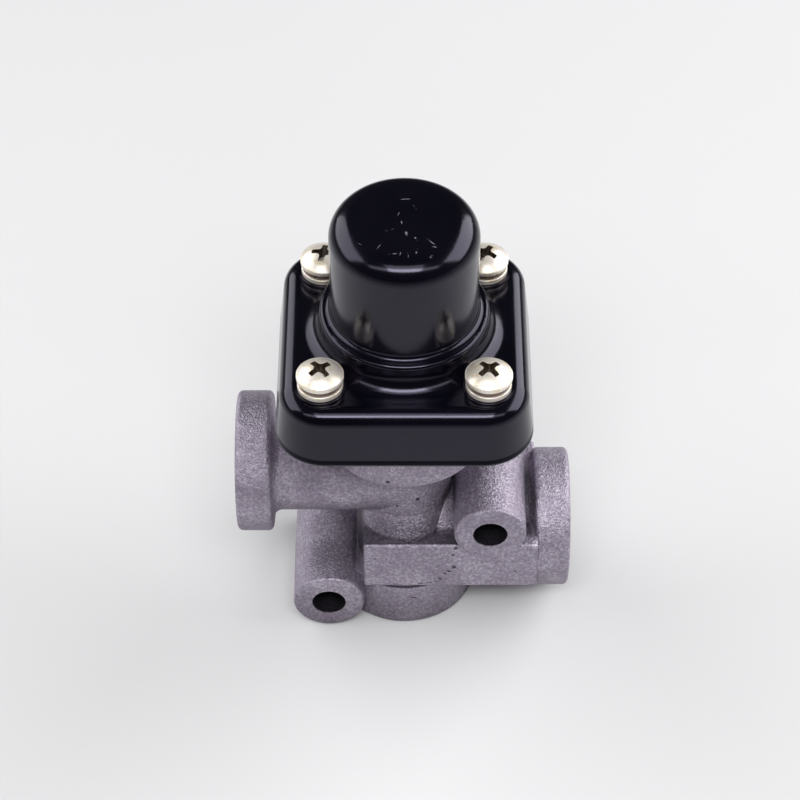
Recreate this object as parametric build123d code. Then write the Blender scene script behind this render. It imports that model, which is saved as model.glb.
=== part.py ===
from build123d import *
import math
import os

os.makedirs("parts", exist_ok=True)

# Pressure protection valve for a compressed-air line. All lengths in millimetres.
# The origin is the centre of the flat underside, +Z runs up the valve axis,
# -X is the inlet side, +X the outlet side and -Y the side of the mounting faces.

# heights along the valve axis
z_low_top = 15.6
z_block_top = 32.2
z_pocket = 29.6
z_column_edge = 36.8
z_collar = 57.8
z_flange_low = 79.0
z_flange_top = 88.0
z_cover_low = 78.3
z_ledge = 90.0
z_cover_top = 95.3
z_shelf = 103.0
z_dome_top = 133.3

# body casting
r_low = 19.4
r_column = 12.9
r_waist = 12.1
foot_side = 12.9
foot_front = 16.0
r_collar = 21.5
block_left = -11.0
block_right = 36.0
block_edge = 0.7
flange_half = 28.4
flange_corner = 8.4

# line ports
z_inlet = 45.3
z_outlet = 22.7
x_inlet_face = -44.75
x_inlet_back = -35.2
x_outlet_face = 44.75
x_outlet_back = 35.2
r_port_disc = 18.9
r_inlet_neck = 13.3
r_outlet_neck = 14.4
r_port_thread = 10.19
port_depth = 14.0
r_passage = 7.0

# mounting tubes
x_tube_low = -20.7
z_tube_low = 9.75
x_tube_high = 22.9
z_tube_high = 37.9
y_tube_face = 20.3
r_tube_face = 9.6
r_tube_middle = 9.75
r_tube_hole = 4.6

# bores of the body
r_centre_bore = 5.0
r_seat_lip = 6.2
r_seat_tube = 8.4
r_groove = 15.5
z_groove = 70.0
r_chamber = 19.6
z_chamber = 81.0
x_gallery = -12.0
r_gallery = 3.1
r_check_bore = 9.3
z_check_top = 27.0
z_check_lip = 25.5
r_plug_bore = 14.6
z_plug_bore = 8.0

# spring cover
cover_half = 33.1
cover_corner = 13.25
cover_taper = 6.25
cover_edge = 4.2
cover_wall = 2.9
pad_height = 0.5
r_pad = 6.4
r_ring = 21.7
r_ring_fillet = 4.5
r_dome = 18.9
r_dome_edge = 6.0
r_spring_room = 16.4
r_plate_room = 19.0
z_plate_room = 94.6
z_room_top = 129.3

# cover screws, M6
screw_pitch = 21.1
r_thread = 2.96
r_thread_hole = 3.05
r_screw_hole = 3.3
r_head = 6.0
washer_thick = 1.6
r_plain_washer = 5.8
r_lock_washer = 5.4
r_washer_hole = 3.2
head_side = 1.1
head_height = 3.4
recess_span = 7.0
recess_wing = 1.5
z_pad = z_cover_top + pad_height
z_plain_top = z_pad + washer_thick
z_head_low = z_plain_top + washer_thick
z_screw_end = 80.9
z_thread_hole = 79.6

# diaphragm, springs and seats
diaphragm_thick = 2.0
r_plate = 15.8
plate_thick = 1.6
r_spring_boss = 10.4
r_main_coil = 12.6
d_main_wire = 3.4
z_spring_low = z_ledge + plate_thick
z_seat_low = 125.9
seat_thick = 1.8
shim_thick = 0.8
main_turns = 5.0

# check valve
r_poppet = 8.2
z_poppet_low = 21.6
z_poppet_top = 24.2
r_poppet_stem = 2.9
r_guide_bore = 2.95
z_stem_end = 10.2
r_check_coil = 5.9
d_check_wire = 0.8
check_turns = 6.0
plug_low = 2.7
z_guide_top = 14.0
r_guide = 4.7
ring_groove_low = 1.3
ring_thick = 1.3


def rod_z(radius, low, high, x=0.0, y=0.0):
    return Pos(x, y, low) * extrude(Circle(radius), high - low)


def rod_x(radius, left, right, z):
    return Plane(origin=(left, 0, z), x_dir=(0, 1, 0), z_dir=(1, 0, 0)) * extrude(
        Circle(radius), right - left
    )


def rod_y(radius, front, back, x, z):
    return Plane(origin=(x, front, z), x_dir=(1, 0, 0), z_dir=(0, 1, 0)) * extrude(
        Circle(radius), back - front
    )


def turned(points):
    # a solid of revolution about the valve axis from (radius, height) corners
    outline = Polyline(*[(radius, 0, height) for radius, height in points], close=True)
    return revolve(make_face(outline), Axis.Z)


def square_block(half, corner, low, high, taper=0.0):
    shape = RectangleRounded(2 * half, 2 * half, corner)
    return Pos(0, 0, low) * extrude(shape, high - low, taper=taper)


def screw_places():
    for side_x in (-1, 1):
        for side_y in (-1, 1):
            yield side_x * screw_pitch, side_y * screw_pitch


# body casting: lower barrel and outlet block
barrel = rod_z(r_low, 0, z_low_top + 0.4)
barrel = fillet(barrel.edges().group_by(Axis.Z)[0], 0.9)
block = Pos((block_left + block_right) / 2, 0, (z_low_top + z_block_top) / 2) * Box(
    block_right - block_left, 2 * r_low, z_block_top - z_low_top
)
block = fillet(block.edges(), block_edge)
rim_back = r_low - block_edge
floor_front = foot_front + 0.8
pocket = Plane(origin=(block_left - 5, 0, 0), x_dir=(0, 1, 0), z_dir=(1, 0, 0)) * make_face(
    Polyline(
        (-rim_back, z_block_top + 1),
        (-rim_back, z_block_top),
        (-floor_front, z_pocket),
        (floor_front, z_pocket),
        (rim_back, z_block_top),
        (rim_back, z_block_top + 1),
        close=True,
    )
)
block -= extrude(pocket, 30 - (block_left - 5))
body = barrel + block

# column with its oblong foot and the wide collar under the flange
foot_low = SlotOverall(2 * foot_front, 2 * foot_side, rotation=90)
foot_high = SlotOverall(2 * r_waist + 0.8, 2 * r_waist, rotation=90)
body += Pos(0, 0, 1) * extrude(foot_low, z_pocket - 1)
body += loft([Pos(0, 0, z_pocket) * foot_low, Pos(0, 0, z_column_edge) * foot_high])
column = rod_z(r_column, z_column_edge, z_flange_low)
column = fillet(column.edges().group_by(Axis.Z)[0], 0.5)
body += column
collar = rod_z(r_collar, z_collar, z_flange_low + 1)
collar = fillet(collar.edges().group_by(Axis.Z)[0], 1.0)
body += collar

# inlet and outlet necks with their port discs
for neck_radius, inner, back, face, height in (
    (r_inlet_neck, 0.0, x_inlet_back, x_inlet_face, z_inlet),
    (r_outlet_neck, 8.0, x_outlet_back, x_outlet_face, z_outlet),
):
    side = -1 if face < 0 else 1
    reach = abs(back) - abs(inner) + 4
    neck = rod_x(neck_radius, min(inner, inner + side * reach), max(inner, inner + side * reach), height)
    disc = rod_x(r_port_disc, min(back, face), max(back, face), height)
    disc = fillet(disc.edges(), 1.4)
    neck_and_disc = neck + disc
    root = neck_and_disc.edges().filter_by(GeomType.CIRCLE)
    root = root.filter_by(lambda e: abs(e.radius - neck_radius) < 0.01)
    root = root.filter_by(lambda e: abs(e.arc_center.X - back) < 0.3)
    neck_and_disc = fillet(root, 2.4)
    body += neck_and_disc

# mounting tubes, drafted both ways from the middle
for tube_x, tube_z in ((x_tube_low, z_tube_low), (x_tube_high, z_tube_high)):
    for side in (-1, 1):
        along = Plane(origin=(tube_x, 0, tube_z), x_dir=(1, 0, 0), z_dir=(0, side, 0))
        half = along * Pos(0, 0, y_tube_face / 2) * Cone(r_tube_middle, r_tube_face, y_tube_face)
        half = fillet(half.edges().sort_by(lambda e: abs(e.center().Y))[-1], 0.7)
        body += half

# square flange that carries the cover
flange = square_block(flange_half, flange_corner, z_flange_low, z_flange_top)
flange = chamfer(flange.edges().group_by(Axis.Z)[0], 0.6)
body += flange

# air ways
body -= turned(
    [
        (r_seat_lip, z_flange_top + 1),
        (r_seat_lip, z_flange_top - 1.2),
        (r_seat_tube, z_flange_top - 4.4),
        (r_seat_tube, z_groove),
        (r_groove, z_groove),
        (r_groove, z_chamber),
        (r_chamber, z_chamber),
        (r_chamber, z_flange_top + 1),
    ]
)
body -= rod_z(r_centre_bore, z_check_top - 2, z_flange_top + 1)
body -= turned(
    [
        (0, -1),
        (r_plug_bore + 0.6, -1),
        (r_plug_bore + 0.6, 0),
        (r_plug_bore, 0.6),
        (r_plug_bore, ring_groove_low),
        (r_plug_bore + 0.8, ring_groove_low),
        (r_plug_bore + 0.8, ring_groove_low + ring_thick + 0.1),
        (r_plug_bore, ring_groove_low + ring_thick + 0.1),
        (r_plug_bore, z_plug_bore),
        (r_check_bore, z_plug_bore),
        (r_check_bore, z_check_top),
        (r_centre_bore + 2.4, z_check_top),
        (r_centre_bore + 1.4, z_check_lip),
        (0, z_check_lip),
    ]
)
body -= rod_x(r_passage, x_inlet_face - 1, -9.2, z_inlet)
body -= rod_x(r_passage, 8.0, x_outlet_face + 1, z_outlet)
body -= rod_z(r_gallery, z_inlet, z_groove + 1, x_gallery)
for face, height, side in ((x_inlet_face, z_inlet, -1), (x_outlet_face, z_outlet, 1)):
    mouth = Plane(origin=(face, 0, height), x_dir=(0, 1, 0), z_dir=(-side, 0, 0))
    body -= mouth * extrude(Circle(r_port_thread), port_depth)
    body -= mouth * Pos(0, 0, 0.6) * Cone(r_port_thread + 1.25, r_port_thread, 1.25)

# bolt holes of the tubes and tapped holes of the flange
for tube_x, tube_z in ((x_tube_low, z_tube_low), (x_tube_high, z_tube_high)):
    body -= rod_y(r_tube_hole, -y_tube_face - 1, y_tube_face + 1, tube_x, tube_z)
for place_x, place_y in screw_places():
    body -= rod_z(r_thread_hole, z_thread_hole, z_flange_top + 1, place_x, place_y)
export_step(body, "parts/valve_body.step")

# spring cover: square skirt
cover = square_block(cover_half, cover_corner, z_cover_low, z_cover_top, cover_taper)
cover = fillet(cover.edges().group_by(Axis.Z)[-1], cover_edge)
cover = fillet(cover.edges().group_by(Axis.Z)[0], 1.2)

# spring cover: round step and dome, one turned outline
fillet_side = r_ring_fillet * (1 - math.sin(math.radians(45)))
dome_line = (
    Line((0, 0, z_ledge), (r_ring + r_ring_fillet, 0, z_ledge))
    + Line((r_ring + r_ring_fillet, 0, z_ledge), (r_ring + r_ring_fillet, 0, z_cover_top))
    + ThreePointArc(
        (r_ring + r_ring_fillet, 0, z_cover_top),
        (r_ring + fillet_side, 0, z_cover_top + fillet_side),
        (r_ring, 0, z_cover_top + r_ring_fillet),
    )
    + Line((r_ring, 0, z_cover_top + r_ring_fillet), (r_ring, 0, z_shelf))
    + Line((r_ring, 0, z_shelf), (r_dome, 0, z_shelf))
    + Line((r_dome, 0, z_shelf), (r_dome, 0, z_dome_top))
    + Line((r_dome, 0, z_dome_top), (0, 0, z_dome_top))
    + Line((0, 0, z_dome_top), (0, 0, z_ledge))
)
dome = revolve(make_face(dome_line), Axis.Z)
rims = dome.edges().filter_by(GeomType.CIRCLE)
dome = fillet(rims.filter_by(lambda e: abs(e.arc_center.Z - z_dome_top) < 0.01), r_dome_edge)
rims = dome.edges().filter_by(GeomType.CIRCLE)
rims = rims.filter_by(lambda e: abs(e.arc_center.Z - z_shelf) < 0.01)
dome = fillet(rims.filter_by(lambda e: abs(e.radius - r_ring) < 0.01), 1.1)
rims = dome.edges().filter_by(GeomType.CIRCLE)
rims = rims.filter_by(lambda e: abs(e.arc_center.Z - z_shelf) < 0.01)
dome = fillet(rims.filter_by(lambda e: abs(e.radius - r_dome) < 0.01), 1.5)
cover += dome
for place_x, place_y in screw_places():
    cover += rod_z(r_pad, z_cover_top - 1, z_pad, place_x, place_y)

# spring cover: hollow inside, spot faces, screw holes and the vent groove
cover -= square_block(
    cover_half - cover_wall, cover_corner - cover_wall, z_cover_low - 0.01, z_ledge, cover_taper
)
cover -= turned(
    [
        (0, z_ledge - 1),
        (r_plate_room, z_ledge - 1),
        (r_plate_room, z_plate_room),
        (r_spring_room, z_plate_room + 1.5),
        (r_spring_room, z_room_top - 1),
        (r_spring_room - 1, z_room_top),
        (0, z_room_top),
    ]
)
for place_x, place_y in screw_places():
    cover -= rod_z(r_pad, z_pad, z_pad + 5, place_x, place_y)
    cover -= rod_z(r_screw_hole, z_ledge - 1, z_pad + 1, place_x, place_y)
cover -= Pos(0, r_plate_room + 5, z_ledge + 0.35) * Box(2.4, 12.5, 0.8)
export_step(cover, "parts/spring_cover.step")

# cover screws with cross recess, each on a plain and a split lock washer
head_line = (
    Line((0, 0, 0), (r_head - 0.2, 0, 0))
    + Line((r_head - 0.2, 0, 0), (r_head, 0, 0.2))
    + Line((r_head, 0, 0.2), (r_head, 0, head_side))
    + Line((r_head, 0, head_side), (r_head - 0.3, 0, head_side + 0.1))
    + ThreePointArc(
        (r_head - 0.3, 0, head_side + 0.1),
        (r_head - 2.2, 0, head_height - 0.75),
        (0, 0, head_height),
    )
    + Line((0, 0, head_height), (0, 0, 0))
)
head = revolve(make_face(head_line), Axis.Z)
cross = Rectangle(recess_span, recess_wing) + Rectangle(recess_wing, recess_span)
inner_corners = cross.vertices().sort_by_distance((0, 0, 0))[:4]
cross = fillet(inner_corners, 0.9)
recess = Pos(0, 0, head_height + 0.1) * extrude(cross, -3.3)
recess &= Pos(0, 0, head_height - 1.4) * Cone(1.2, 3.6, 3.2)
wing_turn = {(-1, -1): 39, (1, -1): 42, (-1, 1): 78, (1, 1): 60}
row_name = {-1: "front", 1: "rear"}
side_name = {-1: "left", 1: "right"}
gap_turn = {(-1, -1): 78, (1, -1): 100, (-1, 1): 250, (1, 1): -58}


def flat_ring(radius, low):
    ring = rod_z(radius, low, low + washer_thick) - rod_z(r_washer_hole, low - 1, low + 3)
    return fillet(ring.edges().filter_by(GeomType.CIRCLE).sort_by(SortBy.RADIUS)[-2:], 0.3)


for place_x, place_y in screw_places():
    place = (round(place_x / screw_pitch), round(place_y / screw_pitch))
    name = row_name[place[1]] + "_" + side_name[place[0]]
    shank = rod_z(r_thread, z_screw_end, z_head_low)
    shank = chamfer(shank.edges().group_by(Axis.Z)[0], 0.7)
    screw = shank + Pos(0, 0, z_head_low) * Rot(0, 0, wing_turn[place]) * (head - recess)
    export_step(Pos(place_x, place_y, 0) * screw, "parts/cover_screw_" + name + ".step")
    plain_washer = Pos(place_x, place_y, 0) * flat_ring(r_plain_washer, z_pad)
    export_step(plain_washer, "parts/plain_washer_" + name + ".step")
    slit = Pos(4.5, 0, z_plain_top + washer_thick / 2) * Rot(25, 0, 0) * Box(4.5, 0.7, 4)
    split_ring = Rot(0, 0, gap_turn[place]) * (flat_ring(r_lock_washer, z_plain_top) - slit)
    export_step(Pos(place_x, place_y, 0) * split_ring, "parts/lock_washer_" + name + ".step")

# diaphragm clamped between the flange and the cover
diaphragm = square_block(27.6, flange_corner - 0.8, z_flange_top, z_ledge)
for place_x, place_y in screw_places():
    diaphragm -= rod_z(3.5, z_flange_top - 1, z_ledge + 1, place_x, place_y)
export_step(diaphragm, "parts/diaphragm.step")

# spring plate on the diaphragm
plate = turned(
    [
        (0, z_ledge),
        (r_plate, z_ledge),
        (r_plate, z_ledge + plate_thick + 1.5),
        (r_plate - 1.2, z_ledge + plate_thick + 1.5),
        (r_plate - 1.2, z_ledge + plate_thick),
        (r_spring_boss, z_ledge + plate_thick),
        (r_spring_boss - 0.5, z_ledge + plate_thick + 3.4),
        (0, z_ledge + plate_thick + 3.4),
    ]
)
plate -= rod_z(6.5, z_ledge + plate_thick, z_ledge + 8)
export_step(plate, "parts/spring_plate.step")

# upper spring seat and the setting shims above it
z_seat_top = z_seat_low + seat_thick
upper_seat = turned(
    [
        (3.0, z_seat_top),
        (r_plate, z_seat_top),
        (r_plate, z_seat_low),
        (r_spring_boss, z_seat_low),
        (r_spring_boss - 0.5, z_seat_low - 2.6),
        (3.0, z_seat_low - 2.6),
    ]
)
export_step(upper_seat, "parts/upper_spring_seat.step")
for number, low in ((1, z_seat_top), (2, z_seat_top + shim_thick)):
    shim = rod_z(15.0, low, low + shim_thick) - rod_z(5.0, low - 1, low + 2)
    export_step(shim, "parts/setting_shim_" + str(number) + ".step")


def coil(radius, wire, low, high, turns, closed_ends):
    # round wire; closed ends have one flat turn each
    sections = []
    rise = high - low - wire
    runs = ((Helix(pitch=rise / turns, height=rise, radius=radius), low + wire / 2),)
    if closed_ends:
        rise = high - low - 3 * wire
        dead = Helix(pitch=wire, height=wire, radius=radius)
        live = Helix(pitch=rise / (turns - 1), height=rise, radius=radius)
        start = low + wire / 2
        runs = ((dead, start), (live, start + wire), (dead, start + wire + rise))
    for path, start in runs:
        moved = Pos(0, 0, start) * path
        profile = Plane(origin=moved @ 0, z_dir=moved % 0) * Circle(wire / 2 * 0.985)
        sections.append(sweep(profile, path=moved, is_frenet=True))
    spring = sections[0]
    for section in sections[1:]:
        spring += section
    return spring


main_spring = coil(r_main_coil, d_main_wire, z_spring_low, z_seat_low, main_turns, True)
export_step(main_spring, "parts/pressure_spring.step")

# check valve in the lower barrel
poppet = turned(
    [
        (0, z_stem_end),
        (r_poppet_stem - 0.4, z_stem_end),
        (r_poppet_stem, z_stem_end + 0.4),
        (r_poppet_stem, z_poppet_low),
        (r_poppet - 0.6, z_poppet_low),
        (r_poppet, z_poppet_low + 0.6),
        (r_poppet, z_poppet_top),
        (0, z_poppet_top),
    ]
)
export_step(poppet, "parts/check_poppet.step")
check_seal = rod_z(r_poppet - 1.0, z_poppet_top, z_check_lip)
export_step(check_seal, "parts/check_seal.step")
plug = turned(
    [
        (0, plug_low),
        (r_plug_bore - 0.15, plug_low),
        (r_plug_bore - 0.15, plug_low + 1.4),
        (r_plug_bore - 2.1, plug_low + 1.4),
        (r_plug_bore - 2.1, plug_low + 4.0),
        (r_plug_bore - 0.15, plug_low + 4.0),
        (r_plug_bore - 0.15, z_plug_bore),
        (r_guide, z_plug_bore),
        (r_guide, z_guide_top),
        (r_guide_bore, z_guide_top),
        (r_guide_bore, plug_low + 3.0),
        (0, plug_low + 3.0),
    ]
)
plug -= rod_z(5.0, plug_low - 1, plug_low + 1.2)
export_step(plug, "parts/bottom_plug.step")
seal_ring = Pos(0, 0, plug_low + 2.7) * Torus(r_plug_bore - 1.06, 1.0)
export_step(seal_ring, "parts/plug_seal_ring.step")

ring_mean = 13.9
ring = rod_z(r_plug_bore + 0.6, ring_groove_low, ring_groove_low + ring_thick)
ring -= rod_z(12.7, ring_groove_low - 1, ring_groove_low + 3)
ring -= Pos(0, -14, ring_groove_low + 0.5) * Box(5.5, 8, 4)
for side in (-1, 1):
    lug_x = side * 4.4
    lug_y = -12.1
    ring += rod_z(2.2, ring_groove_low, ring_groove_low + ring_thick, lug_x, lug_y)
    ring -= rod_z(0.9, ring_groove_low - 1, ring_groove_low + 3, lug_x, lug_y)
export_step(ring, "parts/retaining_ring.step")

check_spring = coil(r_check_coil, d_check_wire, z_plug_bore, z_poppet_low, check_turns, False)
export_step(check_spring, "parts/check_spring.step")
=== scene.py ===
import bpy
import bmesh
import math
from mathutils import Matrix, Vector

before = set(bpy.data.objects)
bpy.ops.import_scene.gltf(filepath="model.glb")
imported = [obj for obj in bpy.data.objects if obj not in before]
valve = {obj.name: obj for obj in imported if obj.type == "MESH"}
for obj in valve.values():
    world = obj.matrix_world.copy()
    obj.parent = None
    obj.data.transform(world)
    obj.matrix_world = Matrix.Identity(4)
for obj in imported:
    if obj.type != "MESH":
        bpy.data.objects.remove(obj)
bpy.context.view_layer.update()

MM = 0.001
scene = bpy.context.scene


# shader helpers

class Finish:
    """One procedural material of the valve, built node by node."""

    def __init__(self, name):
        self.material = bpy.data.materials.new(name)
        self.material.use_nodes = True
        self.tree = self.material.node_tree
        self.tree.nodes.clear()
        self.output = self.tree.nodes.new("ShaderNodeOutputMaterial")
        self.shader = self.tree.nodes.new("ShaderNodeBsdfPrincipled")
        self.tree.links.new(self.shader.outputs[0], self.output.inputs[0])
        spots = self.tree.nodes.new("ShaderNodeTexCoord")
        self.place = spots.outputs["Object"]
        self.facing = spots.outputs["Normal"]

    def join(self, source, target):
        self.tree.links.new(source, target)

    def set(self, **values):
        for name, value in values.items():
            socket = self.shader.inputs[name.replace("_", " ")]
            if isinstance(value, bpy.types.NodeSocket):
                self.join(value, socket)
            else:
                socket.default_value = value

    def noise(self, scale, detail=3.0, rough=0.55, stretch=(1, 1, 1), shift=(0, 0, 0)):
        frame_of = self.tree.nodes.new("ShaderNodeMapping")
        frame_of.inputs["Scale"].default_value = stretch
        frame_of.inputs["Location"].default_value = shift
        self.join(self.place, frame_of.inputs["Vector"])
        grain = self.tree.nodes.new("ShaderNodeTexNoise")
        grain.inputs["Scale"].default_value = scale
        grain.inputs["Detail"].default_value = detail
        grain.inputs["Roughness"].default_value = rough
        self.join(frame_of.outputs[0], grain.inputs["Vector"])
        return grain.outputs["Fac"]

    def cells(self, scale, feature="F1", shift=(0, 0, 0)):
        frame_of = self.tree.nodes.new("ShaderNodeMapping")
        frame_of.inputs["Location"].default_value = shift
        self.join(self.place, frame_of.inputs["Vector"])
        grain = self.tree.nodes.new("ShaderNodeTexVoronoi")
        grain.feature = feature
        grain.inputs["Scale"].default_value = scale
        self.join(frame_of.outputs[0], grain.inputs["Vector"])
        return grain.outputs["Distance"]

    def ramp(self, value, stops, kind="LINEAR"):
        band = self.tree.nodes.new("ShaderNodeValToRGB")
        band.color_ramp.interpolation = kind
        marks = band.color_ramp.elements
        while len(marks) < len(stops):
            marks.new(0.5)
        for mark, (at, colour) in zip(marks, stops):
            mark.position = at
            mark.color = colour if len(colour) == 4 else (*colour, 1)
        self.join(value, band.inputs["Fac"])
        return band.outputs["Color"]

    def span(self, value, low, high, to_low=0.0, to_high=1.0):
        band = self.tree.nodes.new("ShaderNodeMapRange")
        band.inputs["From Min"].default_value = low
        band.inputs["From Max"].default_value = high
        band.inputs["To Min"].default_value = to_low
        band.inputs["To Max"].default_value = to_high
        self.join(value, band.inputs["Value"])
        return band.outputs["Result"]

    def sum(self, kind, first, second, clamp=False):
        step = self.tree.nodes.new("ShaderNodeMath")
        step.operation = kind
        step.use_clamp = clamp
        for value, socket in ((first, step.inputs[0]), (second, step.inputs[1])):
            if isinstance(value, bpy.types.NodeSocket):
                self.join(value, socket)
            else:
                socket.default_value = value
        return step.outputs[0]

    def blend(self, amount, first, second, kind="MIX"):
        step = self.tree.nodes.new("ShaderNodeMix")
        step.data_type = "RGBA"
        step.blend_type = kind
        for value, socket in ((amount, step.inputs[0]), (first, step.inputs[6]), (second, step.inputs[7])):
            if isinstance(value, bpy.types.NodeSocket):
                self.join(value, socket)
            elif isinstance(value, (int, float)):
                socket.default_value = value
            else:
                socket.default_value = (*value[:3], 1)
        return step.outputs[2]

    def bump(self, height, distance, strength=1.0, under=None):
        step = self.tree.nodes.new("ShaderNodeBump")
        step.inputs["Distance"].default_value = distance
        step.inputs["Strength"].default_value = strength
        self.join(height, step.inputs["Height"])
        if under is not None:
            self.join(under, step.inputs["Normal"])
        return step.outputs[0]

    def mark(self, centre, turn, size, soft=0.35):
        """A soft mark for scratches, pits, painted shade and painted highlights: 1 on its line, 0 away from it.
        Lengths in millimetres.
        """
        local = self.tree.nodes.new("ShaderNodeMapping")
        local.vector_type = "TEXTURE"
        local.inputs["Location"].default_value = [c * MM for c in centre]
        local.inputs["Rotation"].default_value = turn
        local.inputs["Scale"].default_value = [s * MM / 2 for s in size]
        self.join(self.place, local.inputs["Vector"])
        far = self.tree.nodes.new("ShaderNodeVectorMath")
        far.operation = "LENGTH"
        self.join(local.outputs[0], far.inputs[0])
        return self.span(far.outputs["Value"], 1.0, 1.0 - soft)

    def axes(self, vector):
        parts = self.tree.nodes.new("ShaderNodeSeparateXYZ")
        self.join(vector, parts.inputs[0])
        return parts.outputs[0], parts.outputs[1], parts.outputs[2]

    def around(self, first, second, at):
        # distance from a line through the point at = (first, second), in metres
        one = self.sum("SUBTRACT", first, at[0] * MM)
        two = self.sum("SUBTRACT", second, at[1] * MM)
        return self.sum("SQRT", self.sum("ADD", self.sum("MULTIPLY", one, one), self.sum("MULTIPLY", two, two)), 0)

    def most(self, values):
        total = values[0]
        for value in values[1:]:
            total = self.sum("MAXIMUM", total, value)
        return total


def dress(obj, finish):
    obj.data.materials.clear()
    obj.data.materials.append(finish.material)


# cast and blasted aluminium of the body
def cast_aluminium():
    f = Finish("cast_aluminium")
    blotch = f.noise(90, 4, 0.6)
    grain = f.noise(1250, 4, 0.75)
    sand = f.cells(1900)
    tone = f.sum("ADD", f.sum("MULTIPLY", blotch, 0.26), f.sum("MULTIPLY", grain, 0.74))
    colour = f.ramp(tone, [(0.36, (0.23, 0.200, 0.255)), (0.50, (0.355, 0.314, 0.388)), (0.63, (0.60, 0.55, 0.64))])
    x, y, z = f.axes(f.place)
    up = f.axes(f.facing)[2]

    # painted shade: under sides, hollows, bores, the groove and the lowest part of the body are darkened
    under = f.span(up, -0.75, 0.05, 0.42, 0.0)
    wide = f.sum("MULTIPLY", f.span(f.sum("ABSOLUTE", y, 0), 20.0 * MM, 20.15 * MM, 1.0, 0.0), 1.0)
    # painted shade inside the two mounting bores
    holes = [f.span(f.around(x, z, at), 4.75 * MM, 4.95 * MM, 1.0, 0.0) for at in ((-20.7, 9.75), (22.9, 37.9))]
    painted_shade_bores = f.sum("MULTIPLY", f.most(holes), wide)
    # painted shade in the hollows beside the column, the foot and the right port
    painted_shade_hollows = f.most([
        f.sum("MULTIPLY", f.mark((-12.6, -4.0, 25.0), (0, 0, 0), (5.2, 30.0, 26.0), 0.4), 0.75),
        f.sum("MULTIPLY", f.mark((12.6, -8.0, 37.0), (0, 0, 0), (8.0, 16.0, 13.0), 0.6), 0.55),
        f.sum("MULTIPLY", f.mark((12.5, -8.0, 50.0), (0, 0.2, 0), (9.0, 22.0, 18.0), 0.8), 0.45),
        f.sum("MULTIPLY", f.mark((33.6, -6.0, 38.0), (0, 0, 0), (3.4, 30.0, 36.0), 0.5), 0.6),
        f.sum("MULTIPLY", f.mark((0, -12.0, 33.6), (0, 0, 0), (32.0, 14.0, 9.0), 0.9), 0.22),
    ])
    # painted shade in the groove behind the block's rim
    painted_shade_groove = f.sum("MULTIPLY", f.span(z, 30.4 * MM, 31.2 * MM, 1.0, 0.0), f.span(z, 29.2 * MM, 29.4 * MM))
    painted_shade_groove = f.sum("MULTIPLY", painted_shade_groove, f.span(f.sum("ABSOLUTE", y, 0), 18.9 * MM, 19.1 * MM, 1.0, 0.0))
    painted_shade_groove = f.sum("MULTIPLY", painted_shade_groove, f.span(x, 29.5 * MM, 30.5 * MM, 1.0, 0.0))
    # painted shade, darker towards the floor
    low = f.span(z, 0.0, 15.0 * MM, 0.42, 0.0)
    dark = f.most([under, low, f.sum("MULTIPLY", painted_shade_groove, 0.6), painted_shade_hollows, f.sum("MULTIPLY", painted_shade_bores, 0.93)])
    colour = f.blend(dark, colour, (0.012, 0.011, 0.016))

    # pits and a scratch of the casting, and a painted shade line in the crease under the block, as lengths in
    # millimetres
    pits_and_shade_line = f.most([f.mark(at, (0, math.radians(turn), 0), (long, deep, high), 0.5) for at, turn, long, deep, high in (
        ((13.4, -19.4, 23.6), 0, 1.5, 2, 1.5), ((12.1, -19.4, 21.9), 20, 2.1, 2, 0.9),
        ((11.0, -19.4, 20.9), 35, 1.3, 2, 0.7), ((9.7, -19.4, 18.8), 50, 1.6, 2, 0.7),
        ((8.4, -19.4, 17.7), 20, 1.3, 2, 0.6), ((6.6, -19.4, 17.2), 5, 2.2, 2, 0.5),
        ((4.4, -19.4, 16.8), 0, 2.2, 2, 0.6), ((13.8, -19.4, 31.4), 0, 1.2, 2, 1.0),
        ((13.1, -19.4, 28.7), 0, 1.1, 2, 0.8), ((-4.3, -21.0, 59.9), 0, 1.6, 2, 1.2),
        ((3.6, -12.4, 43.4), 0, 1.2, 3, 1.4), ((2.6, -19.2, 10.4), 20, 3.4, 2, 0.6),
        ((-2.0, -12.7, 41.0), 0, 0.8, 2, 0.9), ((-8.0, -19.4, 27.0), 0, 0.8, 2, 0.8),
        ((30.0, -19.4, 22.0), 0, 0.8, 2, 0.8), ((0.4, -18.6, 15.2), 0, 21.0, 6, 1.7))])
    colour = f.blend(f.sum("MULTIPLY", pits_and_shade_line, 0.9), colour, (0.022, 0.020, 0.028))
    # bright spots on two fillets: painted highlights
    fillet_glints = f.most([f.mark((11.4, -10.0, 46.6), (0, math.radians(-45), 0), (3.4, 7.0, 1.0), 0.8),
                    f.mark((35.0, -19.0, 32.6), (0, math.radians(50), 0), (4.6, 4.0, 2.4), 0.8)])
    colour = f.blend(f.sum("MULTIPLY", fillet_glints, f.span(grain, 0.42, 0.56)), colour, (0.86, 0.82, 0.90))

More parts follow.
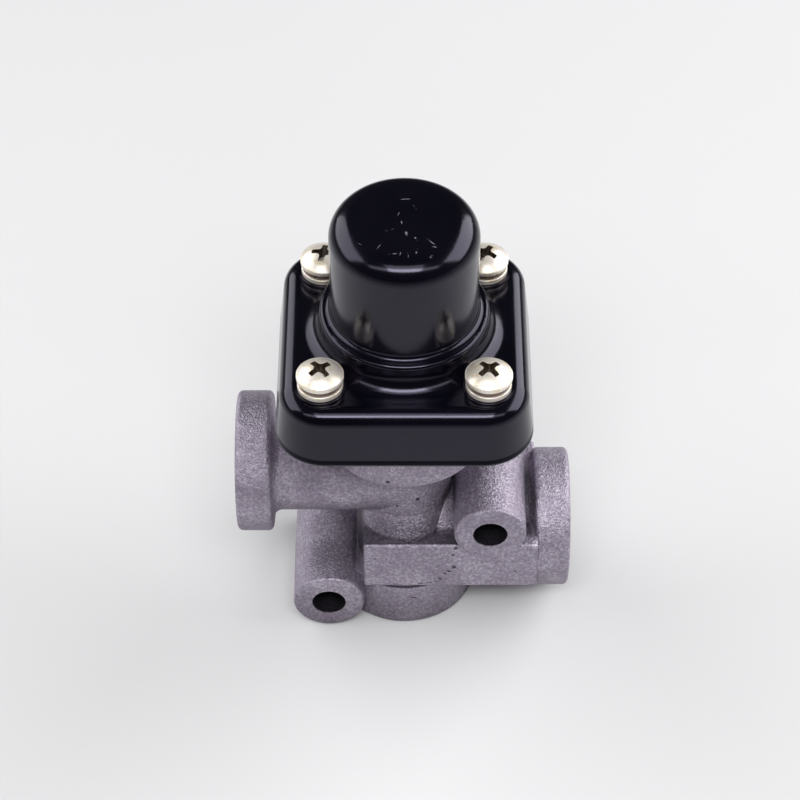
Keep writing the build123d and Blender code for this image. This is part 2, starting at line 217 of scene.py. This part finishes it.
    # screw thread of the two ports, 1.5 mm pitch
    lead = 1.5 * MM
    turned = f.ramp(grain, [(0.35, (0.44, 0.43, 0.46)), (0.65, (0.60, 0.59, 0.62))])
    threads = []
    for height, face in ((45.3, -44.75), (22.7, 44.75)):
        inside = f.span(f.around(y, z, (0, height)), 10.35 * MM, 10.6 * MM, 1.0, 0.0)
        depth = f.sum("ABSOLUTE", f.sum("SUBTRACT", x, face * MM), 0)
        threads.append((f.sum("MULTIPLY", inside, f.span(depth, 13.2 * MM, 13.5 * MM, 1.0, 0.0)), height))
    angle = 0.0
    for inside, height in threads:
        turn = f.sum("ARCTAN2", y, f.sum("SUBTRACT", z, height * MM))
        angle = f.sum("ADD", f.sum("MULTIPLY", turn, inside), angle)
    in_port = f.most([inside for inside, height in threads])
    ridge = f.sum("SINE", f.sum("ADD", f.sum("MULTIPLY", x, 2 * math.pi / lead), angle), 0)
    ridge = f.sum("MULTIPLY", f.span(ridge, -1, 1), in_port)
    colour = f.blend(in_port, colour, turned)
    # thread roots darkened: painted shade in the grooves
    colour = f.blend(f.sum("MULTIPLY", in_port, f.span(ridge, 0.0, 0.5, 0.65, 0.0)), colour, (0.06, 0.058, 0.066))

    relief = f.sum("ADD", f.sum("MULTIPLY", grain, 0.7), f.sum("MULTIPLY", sand, 0.5))
    relief = f.sum("SUBTRACT", relief, f.sum("MULTIPLY", pits_and_shade_line, 0.8))
    rough = f.span(grain, 0.35, 0.7, 0.44, 0.60)
    f.set(Base_Color=colour, Metallic=0.85, Roughness=rough)
    f.set(Normal=f.bump(relief, 0.00034, 0.9, f.bump(ridge, 0.0007, 1.0)))
    return f


def gloss_black():
    f = Finish("black_enamel")
    peel = f.noise(150, 2, 0.5)
    haze = f.noise(45, 3, 0.6)
    colour = f.ramp(haze, [(0.35, (0.0012, 0.0012, 0.0030)), (0.7, (0.0022, 0.0021, 0.0048))])
    f.set(Base_Color=colour, Metallic=0.0, Roughness=f.span(haze, 0.3, 0.7, 0.12, 0.18))
    f.set(Specular_Tint=(0.80, 0.76, 1.0, 1.0), IOR=1.45)
    z = f.axes(f.place)[2]
    # the skirt flares a little above its lower edge
    flare = f.span(z, 79.4 * MM, 80.9 * MM, 1.0, 0.0)
    # scratches on top of the dome and scuffs on the front edge, as lengths in millimetres
    scratches = f.most([f.mark(at, (0, 0, math.radians(turn)), (long, wide, 1.2), 0.6) for at, turn, long, wide in (
        ((0.4, 7.2, 133.3), 4, 3.4, 0.26), ((2.6, 4.2, 133.3), 118, 2.0, 0.24),
        ((-1.5, 1.6, 133.3), 70, 2.2, 0.26), ((-0.7, -1.2, 133.3), 100, 1.7, 0.34),
        ((0.5, -5.2, 133.3), 95, 2.0, 0.80), ((2.8, -7.2, 133.3), 115, 2.2, 0.50),
        ((6.6, -8.4, 133.3), -50, 3.8, 0.30), ((7.6, -10.2, 133.3), -18, 2.2, 0.36),
        ((-3.4, -4.0, 133.3), 20, 3.4, 0.16), ((-6.2, -10.0, 133.3), 60, 2.6, 0.16),
        ((-2.8, -12.6, 133.3), 8, 2.6, 0.40), ((-1.0, -12.6, 133.2), 80, 1.6, 0.32),
        ((0.9, -13.0, 133.2), 96, 1.9, 0.42), ((3.0, -11.7, 133.2), 80, 2.2, 0.44),
        ((6.6, -13.2, 132.9), 40, 1.3, 0.70), ((-10.8, -9.0, 132.8), -38, 2.6, 0.34),
        ((29.6, -0.6, 95.3), 20, 0.9, 0.50), ((-13.9, -32.4, 94.0), 5, 1.6, 0.35),
        ((-8.5, -32.4, 94.2), 5, 2.4, 0.20), ((-4.1, -32.4, 93.9), 0, 1.2, 0.30),
        ((4.9, -32.6, 93.5), 0, 1.6, 0.24), ((24.2, -32.0, 94.2), 10, 1.0, 0.40))])
    broken = f.sum("MULTIPLY", scratches, f.span(f.noise(900, 2, 0.6), 0.42, 0.58))
    colour = f.blend(f.sum("MULTIPLY", broken, 0.75), colour, (0.30, 0.29, 0.34))
    f.set(Base_Color=colour)
    f.set(Normal=f.bump(peel, 0.00010, 0.3, f.bump(flare, 0.0004, 1.0)))
    return f


def yellow_zinc():
    f = Finish("yellow_zinc")
    cloud = f.noise(420, 3, 0.6)
    fine = f.noise(3000, 2, 0.5)
    tone = f.sum("ADD", f.sum("MULTIPLY", cloud, 0.8), f.sum("MULTIPLY", fine, 0.2))
    colour = f.ramp(tone, [(0.30, (0.74, 0.58, 0.40)), (0.42, (0.88, 0.79, 0.64)), (0.52, (0.93, 0.89, 0.78)),
                           (0.60, (0.93, 0.80, 0.78)), (0.70, (0.80, 0.88, 0.70))])
    x, y, z = f.axes(f.place)
    up = f.axes(f.facing)[2]
    from_screw = f.around(f.sum("ABSOLUTE", x, 0), f.sum("ABSOLUTE", y, 0), (21.1, 21.1))
    # painted shade: the walls of the cross recess are darkened, and so is the gap above the plain washer
    inside = f.sum("MULTIPLY", f.span(from_screw, 3.6 * MM, 3.75 * MM, 1.0, 0.0), f.span(up, 0.72, 0.84, 1.0, 0.0))
    washer_gap_shade = f.sum("MULTIPLY", f.span(z, 97.35 * MM, 97.5 * MM), f.span(z, 98.9 * MM, 99.05 * MM, 1.0, 0.0))
    colour = f.blend(f.sum("MULTIPLY", washer_gap_shade, 0.85), colour, (0.11, 0.055, 0.045))
    colour = f.blend(inside, colour, (0.030, 0.019, 0.009))
    metal = f.span(inside, 0, 1, 0.6, 0.1)
    f.set(Base_Color=colour, Metallic=metal, Roughness=f.span(fine, 0.3, 0.7, 0.34, 0.46))
    f.set(Normal=f.bump(fine, 0.00002, 0.5))
    return f


def plain_metal(name, dark, light, rough, metallic=1.0, scale=900):
    f = Finish(name)
    grain = f.noise(scale, 3, 0.6, stretch=(1, 1, 6))
    f.set(Base_Color=f.ramp(grain, [(0.35, dark), (0.65, light)]), Metallic=metallic)
    f.set(Roughness=f.span(grain, 0.3, 0.7, rough - 0.05, rough + 0.07))
    f.set(Normal=f.bump(grain, 0.00002, 0.4))
    return f


cast = cast_aluminium()
enamel = gloss_black()
zinc = yellow_zinc()
spring_steel = plain_metal("spring_steel", (0.20, 0.20, 0.21), (0.34, 0.34, 0.36), 0.35)
turned_steel = plain_metal("turned_steel", (0.44, 0.44, 0.46), (0.60, 0.60, 0.62), 0.30)
turned_alloy = plain_metal("turned_aluminium", (0.55, 0.55, 0.57), (0.70, 0.70, 0.72), 0.36)
brass = plain_metal("brass", (0.52, 0.36, 0.14), (0.70, 0.52, 0.24), 0.30)
rubber = plain_metal("seal_rubber", (0.010, 0.010, 0.011), (0.022, 0.022, 0.024), 0.62, 0.0)

finish_of = {
    "valve_body": cast,
    "spring_cover": enamel,
    "diaphragm": rubber,
    "spring_plate": turned_steel,
    "pressure_spring": spring_steel,
    "upper_spring_seat": turned_steel,
    "setting_shim_1": turned_steel,
    "setting_shim_2": turned_steel,
    "check_poppet": brass,
    "check_seal": rubber,
    "check_spring": spring_steel,
    "bottom_plug": turned_alloy,
    "plug_seal_ring": rubber,
    "retaining_ring": spring_steel,
}
for name, piece in valve.items():
    dress(piece, finish_of.get(name, zinc))


# studio: pale floor and soft light
def sheet_mesh(name, half_x, half_y):
    mesh = bpy.data.meshes.new(name)
    bm = bmesh.new()
    bmesh.ops.create_grid(bm, x_segments=1, y_segments=1, size=1.0)
    bmesh.ops.scale(bm, vec=(half_x, half_y, 1), verts=bm.verts)
    bm.to_mesh(mesh)
    bm.free()
    obj = bpy.data.objects.new(name, mesh)
    scene.collection.objects.link(obj)
    return obj


def studio():
    floor = sheet_mesh("pale_floor", 4.0, 4.0)
    floor.location = (0, 0, -0.0002)
    paper = Finish("pale_floor")
    tone = paper.noise(3, 2, 0.5)
    white = paper.ramp(tone, [(0.3, (0.62, 0.62, 0.625)), (0.7, (0.64, 0.64, 0.645))])
    x, y, z = paper.axes(paper.place)
    # the floor darkens away from the valve: a painted pool of light around it
    fade = paper.span(paper.around(x, y, (0, 80)), 0.235, 0.50)
    paper.set(Base_Color=paper.blend(fade, white, (0.22, 0.22, 0.23)), Roughness=0.9)
    dress(floor, paper)

    sky = bpy.data.worlds.new("studio")
    sky.use_nodes = True
    ground = sky.node_tree.nodes["Background"]
    ground.inputs["Color"].default_value = (0.90, 0.88, 1.0, 1)
    ground.inputs["Strength"].default_value = 0.06
    scene.world = sky

    def panel(name, turn, lift, away, size, radiance, tint=(1, 1, 1)):
        # turn and lift in degrees from the front (-Y) horizon, seen from the valve
        turn = math.radians(turn)
        lift = math.radians(lift)
        aim = Vector((0, 0, 0.07))
        way = Vector((math.sin(turn) * math.cos(lift), -math.cos(turn) * math.cos(lift), math.sin(lift)))
        light = bpy.data.lights.new(name, "AREA")
        light.shape = "RECTANGLE"
        light.size, light.size_y = size
        light.energy = radiance * math.pi * size[0] * size[1]
        light.color = tint
        holder = bpy.data.objects.new(name, light)
        holder.location = aim + way * away
        holder.rotation_mode = "QUATERNION"
        holder.rotation_quaternion = (-way).to_track_quat("-Z", "Y")
        scene.collection.objects.link(holder)

    panel("soft_key", 0, 53, 1.2, (0.80, 0.26), 9.5)
    panel("soft_key_fade", 0, 66, 1.2, (0.80, 0.34), 2.4)
    panel("soft_strip", 0, 53, 1.25, (2.2, 0.28), 2.3)
    panel("soft_left", -112, 30, 1.2, (1.5, 0.92), 2.8)
    panel("soft_right", 112, 31, 1.2, (1.5, 0.92), 3.9)


studio()


# camera at the photograph's viewing angle
def camera():
    lift = math.radians(46.3)
    yaw = math.radians(0.162)
    roll = math.radians(-0.123)
    away = 0.700
    back = Vector((math.sin(yaw) * math.cos(lift), -math.cos(yaw) * math.cos(lift), math.sin(lift)))
    right = (-back).cross(Vector((0, 0, 1))).normalized()
    up = right.cross(-back)
    right, up = right * math.cos(roll) + up * math.sin(roll), up * math.cos(roll) - right * math.sin(roll)
    data = bpy.data.cameras.new("photo_view")
    data.sensor_width = 36
    data.lens = 36 * 2656.8 / 800
    data.clip_start = 0.01
    data.clip_end = 30
    holder = bpy.data.objects.new("photo_view", data)
    holder.rotation_mode = "QUATERNION"
    holder.location = Vector((-1.167, 0, 68.78)) * MM + back * away
    holder.rotation_quaternion = Matrix((right, up, back)).transposed().to_quaternion()
    scene.collection.objects.link(holder)
    scene.camera = holder


camera()
scene.view_settings.view_transform = "Standard"
